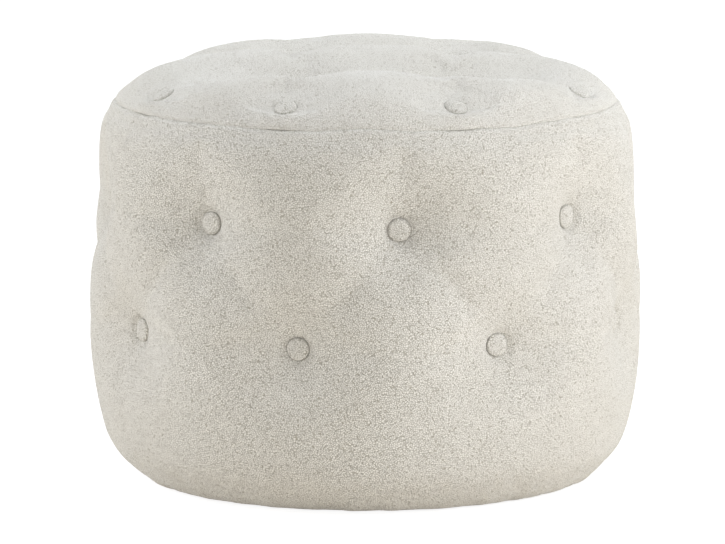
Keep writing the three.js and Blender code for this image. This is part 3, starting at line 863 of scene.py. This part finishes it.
def open_foam():
    """Cut foam: small round pores, painted a little darker inside as shade."""
    material, nodes, links, shader = surface("open_foam", Roughness=0.9, Specular_IOR_Level=0.15)
    place = object_coordinates(nodes)
    pores = textured(nodes, links, "ShaderNodeTexVoronoi", place, Scale=900.0).outputs["Distance"]
    slow = noise(nodes, links, place, 9.0)
    # Painted shade: the middle of each pore is darker
    tint = ramp(nodes, links, pores, [(0.1, (0.60, 0.50, 0.28)), (0.5, (0.80, 0.72, 0.48))])
    aged = ramp(nodes, links, slow, [(0.3, (0.93, 0.9, 0.82)), (0.7, (1.0, 1.0, 1.0))])
    links.new(mixed(nodes, links, 1.0, tint, aged, "MULTIPLY"), shader.inputs["Base Color"])
    bumped(nodes, links, shader, pores, 0.4 * MM)
    return material


def sawn_wood(name, pale, dark, stretch, ring_scale):
    """Wood with grain along one axis: bands bent by a noise on stretched coordinates, with fine pores."""
    material, nodes, links, shader = surface(name, Roughness=0.62, Specular_IOR_Level=0.3)
    place = stretched(nodes, links, object_coordinates(nodes), stretch)
    grain = textured(
        nodes, links, "ShaderNodeTexWave", place, Scale=ring_scale, Distortion=6.0, Detail=3.0,
    ).outputs["Fac"]
    pores = noise(nodes, links, place, ring_scale * 9, Detail=4.0)
    color = ramp(nodes, links, grain, [(0.15, pale), (0.9, dark)])
    fine = ramp(nodes, links, pores, [(0.35, (0.84, 0.8, 0.74)), (0.6, (1.0, 1.0, 1.0))])
    links.new(mixed(nodes, links, 1.0, color, fine, "MULTIPLY"), shader.inputs["Base Color"])
    bumped(nodes, links, shader, pores, 0.15 * MM)
    return material


def layered_plywood():
    """Plywood: broad face grain, with thin plies that show as bands up its edge."""
    material, nodes, links, shader = surface("layered_plywood", Roughness=0.6, Specular_IOR_Level=0.3)
    place = object_coordinates(nodes)
    grain = noise(nodes, links, stretched(nodes, links, place, (3.0, 26.0, 1.0)), 3.0, Detail=6.0)
    face = ramp(nodes, links, grain, [(0.35, (0.60, 0.45, 0.26)), (0.65, (0.76, 0.61, 0.38))])
    plies = textured(nodes, links, "ShaderNodeTexWave", place, Scale=90.0, bands_direction="Z").outputs["Fac"]
    edge = ramp(nodes, links, plies, [(0.35, (0.42, 0.28, 0.14)), (0.6, (0.70, 0.54, 0.32))])
    normal = nodes.new("ShaderNodeNewGeometry").outputs["Normal"]
    parts = nodes.new("ShaderNodeSeparateXYZ")
    links.new(normal, parts.inputs[0])
    level = remap(nodes, links, sums(nodes, links, "ABSOLUTE", parts.outputs["Z"], 0.0), 0.5, 0.8)
    links.new(mixed(nodes, links, level, edge, face), shader.inputs["Base Color"])
    bumped(nodes, links, shader, grain, 0.2 * MM)
    return material


def bright_zinc():
    """Zinc-plated steel: a thin cloudy tone and brushed roughness."""
    material, nodes, links, shader = surface("bright_zinc", Metallic=1.0)
    clouds = noise(nodes, links, object_coordinates(nodes), 420.0, Detail=3.0)
    tint = ramp(nodes, links, clouds, [(0.3, (0.50, 0.51, 0.53)), (0.7, (0.68, 0.69, 0.70))])
    links.new(tint, shader.inputs["Base Color"])
    links.new(remap(nodes, links, clouds, 0.3, 0.7, 0.24, 0.42), shader.inputs["Roughness"])
    return material


def moulded_nylon(name, color):
    """Moulded plastic: one colour with a little cloud, and a fine pebbled skin."""
    material, nodes, links, shader = surface(name, Specular_IOR_Level=0.45)
    place = object_coordinates(nodes)
    skin = noise(nodes, links, place, 1600.0, Detail=2.0)
    cloud = noise(nodes, links, place, 60.0)
    darker = tuple(0.8 * c for c in color)
    links.new(ramp(nodes, links, cloud, [(0.3, darker), (0.7, color)]), shader.inputs["Base Color"])
    links.new(remap(nodes, links, cloud, 0.3, 0.7, 0.42, 0.58), shader.inputs["Roughness"])
    bumped(nodes, links, shader, skin, 0.05 * MM)
    return material


# The boucle's gaps are painted shade. The top's copy has paler painted shade in its gaps than the side's:
# seen along the cloth they hide behind the curls
BOUCLE = looped_boucle("looped_boucle", (0.40, 0.37, 0.30))
TOP_BOUCLE = looped_boucle("top_boucle_paler_shade", (0.52, 0.49, 0.425))
WADDING = plain_fibre("carded_wadding", (0.86, 0.86, 0.84), (0.68, 0.68, 0.66), 260.0, 0.95, 0.9 * MM)
FOAM = open_foam()
DUST_CLOTH = plain_fibre(
    "black_dust_cloth", (0.035, 0.035, 0.036), (0.012, 0.012, 0.013), 700.0, 0.85, 0.2 * MM,
)
TWINE = plain_fibre("waxed_twine", (0.78, 0.74, 0.64), (0.55, 0.50, 0.40), 1400.0, 0.7, 0.2 * MM)
PLYWOOD = layered_plywood()
HARDBOARD = plain_fibre(
    "pressed_hardboard", (0.30, 0.18, 0.085), (0.17, 0.095, 0.045), 520.0, 0.75, 0.12 * MM,
)
PINE = sawn_wood("sawn_pine", (0.78, 0.60, 0.36), (0.60, 0.41, 0.20), (1.0, 1.0, 0.12), 22.0)
ZINC = bright_zinc()
NYLON = moulded_nylon("black_nylon", (0.03, 0.03, 0.032))
TOGGLE = moulded_nylon("pale_toggle", (0.62, 0.60, 0.55))


# Upholstery

def dressed(piece, node):
    """The piece rides with the body and stands for a node, whose imported part is hidden."""
    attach(piece, "root")
    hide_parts(node)
    return piece


def ring_piece(name, loop, materials):
    """A closed ring from a grid whose rows go once round its section."""
    rows, columns = loop.shape[:2]
    faces = grid_faces(rows + 1, columns, True) % (rows * columns)
    return mesh_piece(name, loop, [faces], materials)


def side_cover():
    """The boucle round the side: nubbed, rolled in at the seam, turned under at the foot, plain inside."""
    step = (SIDE_ROWS - 1) / side_run
    runs = np.concatenate([SIDE_LIP, np.arange(SIDE_EVEN_FROM, side_run, SIDE_SPACING), [side_run]])
    down = (runs * step)[:, None]
    turns = even_turns(FINE_COLUMNS)[None]
    face = side_at(*gathered(down, turns, side_at, UPPER_BUTTONS + LOWER_BUTTONS), 0)
    face, free = seat_buttons(face, UPPER_BUTTONS + LOWER_BUTTONS)
    face = face + facing(turns) * seam_fullness(turns, runs[:, None])[..., None]
    face[..., 2] += seam_wave(turns, runs[:, None])
    pucker = 1 - ease(np.abs(face[..., 2:] - PUCKER_HEIGHT) / PUCKER_REACH)
    waves = soft_noise(facing(turns) * 17, 1.0, 4) - 0.5
    face += facing(turns) * pucker * waves[..., None] * PUCKER_DEPTH
    edge = ease((runs - 1 * MM) / (3 * MM)) * ease((side_run - 6 * MM - runs) / (8 * MM))
    face = nubbed(face, grid_normals(face, True), free * edge[:, None])
    inside = side_at(np.linspace(SIDE_ROWS - 1, 0.6, 40)[:, None], turns, COVER)
    turned_in = side_at(np.array([[0.15]]), turns, TURN_IN)
    piece = ring_piece("boucle_side", np.concatenate([face, inside, turned_in]), [BOUCLE])
    dressed(piece, "side_cover")


def top_piece(name, face, under, materials):
    """A closed cap from a square grid, rings that lead in under it from its edge, and a middle point."""
    count = face.shape[0]
    index = np.arange(count * count).reshape(count, count)
    ring = np.concatenate([index[-1, :-1], index[:0:-1, -1], index[0, :0:-1], index[:-1, 0]])
    size, start = len(ring), count * count
    first = np.arange(size) + start
    blocks = [
        grid_faces(count, count, False),
        np.stack([ring, first, np.roll(first, -1), np.roll(ring, -1)], -1),
        grid_faces(len(under), size, True, start),
        fan_faces(first + (len(under) - 1) * size, start + len(under) * size, False),
    ]
    middle = under[-1].mean(0, keepdims=True)
    vertices = np.concatenate([face.reshape(-1, 3), under.reshape(-1, 3), middle])
    return mesh_piece(name, vertices, blocks, materials)


def square_ring(places):
    """The places round the edge of a square grid, counterclockwise from above, as rows and columns."""
    count = len(places)
    low, high = places[0], places[-1]
    down = np.concatenate([np.full(count - 1, high), places[:0:-1], np.full(count - 1, low), places[:-1]])
    along = np.concatenate([places[:-1], np.full(count - 1, high), places[:0:-1], np.full(count - 1, low)])
    return down, along


def drawn_to_middle(places, shares, depth):
    """Rings of the top at a depth, each the grid's edge ring drawn towards the middle by a share."""
    down, along = square_ring(places)
    middle = TOP_CELLS / 2
    shares = np.asarray(shares)[:, None]
    return top_at(middle + (down - middle) * shares, middle + (along - middle) * shares, depth)


def top_places():
    """Places along one side of the top's grid: fine near its ends, then even."""
    cell = 2 * CROWN_RUN / TOP_CELLS
    lip, spacing = TOP_LIP / cell, TOP_SPACING / cell
    half = np.concatenate([lip, np.arange(lip[-1] + spacing, TOP_CELLS / 2, spacing)])
    return np.concatenate([half, [TOP_CELLS / 2], TOP_CELLS - half[::-1]])


def top_cover():
    """The boucle over the top: nubbed, rolled in at the seam and plain inside."""
    places = top_places()
    face = top_at(*gathered(places[:, None], places[None, :], top_at, TOP_BUTTONS), 0)
    face, free = seat_buttons(face, TOP_BUTTONS)
    square_place = places / TOP_CELLS * 2 - 1
    x, y = on_disc(square_place[None, :], -square_place[:, None])
    share = np.hypot(x, y)
    run = (1 - share) * CROWN_RUN
    turn = np.arctan2(x, -y)
    out = np.stack([x, y, np.zeros_like(x)], -1) / np.maximum(share, 1e-6)[..., None]
    face = face + out * seam_fullness(turn, run)[..., None]
    face[..., 2] += seam_wave(turn, run)
    face = nubbed(face, grid_normals(face, False), free * ease((run - 1 * MM) / (3 * MM)))
    turned_in = drawn_to_middle(places, [1.0], TURN_IN)
    inside = drawn_to_middle(places, np.linspace(0.985, 0.03, 34), COVER)
    piece = top_piece("boucle_top", face, np.concatenate([turned_in, inside]), [TOP_BOUCLE])
    dressed(piece, "top_cover")


def wadding():
    """The wadding round the side and over the top, closed between its two depths."""
    turns = even_turns(LAYER_COLUMNS)[None]
    inner_depth = FOAM_DEPTH - LAYER_GAP
    rows = np.linspace(row_of_height(SEAM_HEIGHT) + 1.2, row_of_height(LAYER_FOOT), 90)[:, None]
    loop = np.concatenate([side_at(rows, turns, WADDING_DEPTH), side_at(rows[::-1], turns, inner_depth)])
    piece = ring_piece("wadding_side", loop, [WADDING])
    dressed(piece, "side_wadding")
    places = np.linspace(0.8, TOP_CELLS - 0.8, 150)
    face = top_at(places[:, None], places[None, :], WADDING_DEPTH)
    under = drawn_to_middle(places, np.linspace(1, 0.03, 40), inner_depth)
    piece = top_piece("wadding_top", face, under, [WADDING])
    dressed(piece, "top_wadding")


def foam():
    """The foam: a ring round the drum and a thick pad over the deck, both under the wadding."""
    turns = even_turns(LAYER_COLUMNS)[None]
    under_deck, over_deck = DECK_HEIGHT - LAYER_GAP, DECK_HEIGHT + LAYER_GAP
    rows = np.linspace(row_of_height(under_deck), row_of_height(LAYER_FOOT), 80)[:, None]
    outer = side_at(rows, turns, FOAM_DEPTH)
    outer[0, :, 2] = under_deck
    inner = facing(turns) * (DRUM_RADIUS + 2 * LAYER_GAP) + np.zeros((20, 1, 1))
    inner[..., 2] = np.linspace(FOOT_HEIGHT, under_deck, 20)[:, None]
    piece = ring_piece("foam_side", np.concatenate([outer, inner]), [FOAM])
    dressed(piece, "side_foam")
    places = np.linspace(1.0, TOP_CELLS - 1.0, 130)
    face = top_at(places[:, None], places[None, :], FOAM_DEPTH)
    edge = drawn_to_middle(places, [1.0], FOAM_DEPTH)[0]
    turn = np.arctan2(edge[:, 0], -edge[:, 1]) % TAU
    heights = (392 * MM, 386 * MM, over_deck)
    walls = [side_at(row_of_height(height), turn, FOAM_DEPTH) for height in heights]
    walls[-1][:, 2] = over_deck
    flat = [walls[-1] * (share, share, 1) for share in np.linspace(0.95, 0.05, 12)]
    piece = top_piece("foam_top", face, np.stack(walls + flat), [FOAM])
    dressed(piece, "top_foam")


# Buttons

def button_outline(tie):
    """A button in section from its crown to the foot of its toggle, as radius, height and material number."""
    cap = [
        (BUTTON_RADIUS * math.sin(angle * 0.98) ** 0.8, 4.1 * MM + 3.2 * MM * math.cos(angle), 0)
        for angle in np.linspace(0, 1, 15)[1:] * math.pi / 2
    ]
    edge = ((12, 3.2), (11.9, 2.3), (11.5, 1.3), (10.6, 0.6), (8, 0.35))
    rim = [(radius * MM, height * MM, 0) for radius, height in edge]
    shank = [(2.2 * MM, 0.3 * MM, 1)]
    shank += [(TIE_RADIUS, height, 1) for height in (0.1 * MM, -tie * 0.5, -tie)]
    toggle = [
        (4.4 * MM, -tie, 2), (TOGGLE_RADIUS, -tie - 0.5 * MM, 2), (TOGGLE_RADIUS, -tie - 1.5 * MM, 2),
        (4.4 * MM, -tie - TOGGLE_THICKNESS, 2), (2 * MM, -tie - TOGGLE_THICKNESS, 2),
    ]
    return cap + rim + shank + toggle


def button_piece(button):
    """One covered button carried round its own axis, nubbed on its cap, with twine and toggle behind it."""
    outline = button_outline(button["tie"])
    radius, height = (np.array([row[k] for row in outline])[:, None] for k in range(2))
    turns = even_turns(BUTTON_COLUMNS)[None]
    out = button["out"]
    across = facing(button["turn"] + math.pi / 2)
    level = np.cross(out, across)
    wheel = across * np.cos(turns)[..., None] + level * np.sin(turns)[..., None]
    points = button["seat"] + wheel * radius[..., None] + out * height[..., None]
    on_cap = np.array([float(row[2] == 0 and row[1] > 0.5 * MM) for row in outline])[:, None]
    lift = nub_height(points, NUB) * CAP_NUB_HEIGHT + (soft_noise(points, 7 * MM, 5) - 0.5) * CAP_UNEVENNESS
    points = points + grid_normals(points, True) * (lift * on_cap)[..., None]
    faces = grid_faces(len(outline), BUTTON_COLUMNS, True)
    numbers = np.repeat([row[2] for row in outline[1:]], BUTTON_COLUMNS)
    first = np.arange(BUTTON_COLUMNS)
    last = (len(outline) - 1) * BUTTON_COLUMNS + first
    middle = len(outline) * BUTTON_COLUMNS
    blocks = [faces[numbers == number] for number in range(3)]
    blocks += [fan_faces(first, middle, True), fan_faces(last, middle + 1, False)]
    ends = [button["seat"] + out * 7.6 * MM, button["seat"] - out * (button["tie"] + TOGGLE_THICKNESS)]
    vertices = np.concatenate([points.reshape(-1, 3), ends])
    materials = [BOUCLE, TWINE, TOGGLE]
    piece = mesh_piece("covered_" + button["name"], vertices, blocks, materials, [0, 1, 2, 0, 2])
    dressed(piece, button["name"])


# Under the base

def dust_cover():
    """Thin black cloth stapled under the base, with a little slack between its staples."""
    low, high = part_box("dust_cover")
    radius = high[0]
    columns, rings = 192, 26
    turns = even_turns(columns)[None]
    share = np.linspace(1, 0.04, rings)[:, None]
    sag = DUST_SAG * ((1 - share) * share * 4) * np.sin(turns * 24) * share ** 6
    bottom, top = (low[2] + face for face in DUST_FACES)
    under = facing(turns) * (radius * share)[..., None]
    above = under.copy()
    under[..., 2] = bottom + sag
    above[..., 2] = top + sag
    loop = np.concatenate([under[::-1], above])
    first, middle = np.arange(columns), len(loop) * columns
    blocks = [
        grid_faces(len(loop), columns, True)[:, ::-1],
        fan_faces(first, middle, False),
        fan_faces(first + middle - columns, middle + 1, True),
    ]
    vertices = np.concatenate([loop.reshape(-1, 3), [[0, 0, bottom], [0, 0, top]]])
    piece = mesh_piece("dust_cloth", vertices, blocks, [DUST_CLOTH])
    dressed(piece, "dust_cover")


side_cover()
top_cover()
wadding()
foam()
for button in ALL_BUTTONS:
    button_piece(button)
dust_cover()


# The frame's own pieces take their finishes

def finish_node(name, material):
    """A carried-over piece of the frame gets its material in all of its slots."""
    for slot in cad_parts[name].material_slots:
        slot.material = material


for board in ("top_board", "base_board"):
    finish_node(board, PLYWOOD)
finish_node("drum_wall", HARDBOARD)
for number in range(1, 5):
    finish_node(f"post_{number}", PINE)
    finish_node(f"screw_top_{number}", ZINC)
    finish_node(f"screw_base_{number}", ZINC)
    finish_node(f"glide_{number}", NYLON)


# Floor, light and camera

def seen_directly(nodes, links):
    """One where the camera, a mirror or glass sees a surface itself, zero where it only lights others."""
    path = nodes.new("ShaderNodeLightPath")
    looked_at = sums(nodes, links, "MAXIMUM", path.outputs["Is Camera Ray"], path.outputs["Is Glossy Ray"])
    return sums(nodes, links, "MAXIMUM", looked_at, path.outputs["Is Transmission Ray"])


def pale_floor():
    """A wide plain floor, white where it is lit and a little darker in the tuffet's shadow."""
    material = bpy.data.materials.new("pale_floor")
    material.use_nodes = True
    nodes, links = material.node_tree.nodes, material.node_tree.links
    nodes.clear()
    looked_at = seen_directly(nodes, links)
    lit = nodes.new("ShaderNodeBsdfDiffuse")
    links.new(mixed(nodes, links, looked_at, (0.80, 0.74, 0.65), (0.3, 0.3, 0.3)), lit.inputs["Color"])
    glow = nodes.new("ShaderNodeEmission")
    links.new(remap(nodes, links, looked_at, 0.0, 1.0, 0.2, 0.88), glow.inputs["Strength"])
    both = nodes.new("ShaderNodeAddShader")
    links.new(lit.outputs[0], both.inputs[0])
    links.new(glow.outputs[0], both.inputs[1])
    output = nodes.new("ShaderNodeOutputMaterial")
    links.new(both.outputs[0], output.inputs["Surface"])
    corners = np.array([(-1, -1, 0), (1, -1, 0), (1, 1, 0), (-1, 1, 0)]) * 40.0
    floor = mesh_piece("floor", corners, [np.array([[0, 1, 2, 3]])], [material])


def soft_world():
    """Even pale light from all round, seen as white."""
    world = bpy.data.worlds.new("studio")
    world.use_nodes = True
    bpy.context.scene.world = world
    nodes, links = world.node_tree.nodes, world.node_tree.links
    strength = remap(nodes, links, seen_directly(nodes, links), 0.0, 1.0, 0.74, 1.0)
    links.new(strength, nodes["Background"].inputs["Strength"])
    nodes["Background"].inputs["Color"].default_value = (1, 1, 1, 1)


def soft_light(name, place, aim, size, power, color):
    """A square soft light at a place, turned to its aim."""
    lamp = bpy.data.lights.new(name, "AREA")
    lamp.color = color
    lamp.shape = "SQUARE"
    lamp.size = size
    lamp.energy = power
    light = bpy.data.objects.new(name, lamp)
    bpy.context.scene.collection.objects.link(light)
    light.location = place
    delta = np.array(aim, float) - np.array(place, float)
    level = math.hypot(delta[0], delta[1])
    light.rotation_euler = (math.atan2(level, -delta[2]), 0, math.atan2(-delta[0], delta[1]))


pale_floor()
soft_world()

# Each light's place, aim, size, power and colour
soft_light("right_softbox", (2.9, -0.9, 1.2), (0, 0, 0.25), 1.6, 52, (0.96, 0.98, 1))
soft_light("overhead_softbox", (0.2, 0.9, 2.9), (0, 0, 0.3), 1.8, 27, (0.88, 0.95, 1))
soft_light("left_softbox", (-3.0, 0.5, 1.2), (0, 0, 0.25), 1.6, 36, (0.94, 0.97, 1))

# A long lens, 6.5 m away, that looks down by 8.4 degrees
lens = bpy.data.cameras.new("photo_view")
lens.lens = 293.6
lens.sensor_width = 36
lens.shift_x = -3.5 / 725
lens.clip_end = 200
camera = bpy.data.objects.new("photo_view", lens)
bpy.context.scene.collection.objects.link(camera)
camera.location = (0, -6.4395, 1.1801)
camera.rotation_euler = (math.radians(81.56), 0, 0)
bpy.context.scene.camera = camera
bpy.context.scene.view_settings.view_transform = "Standard"
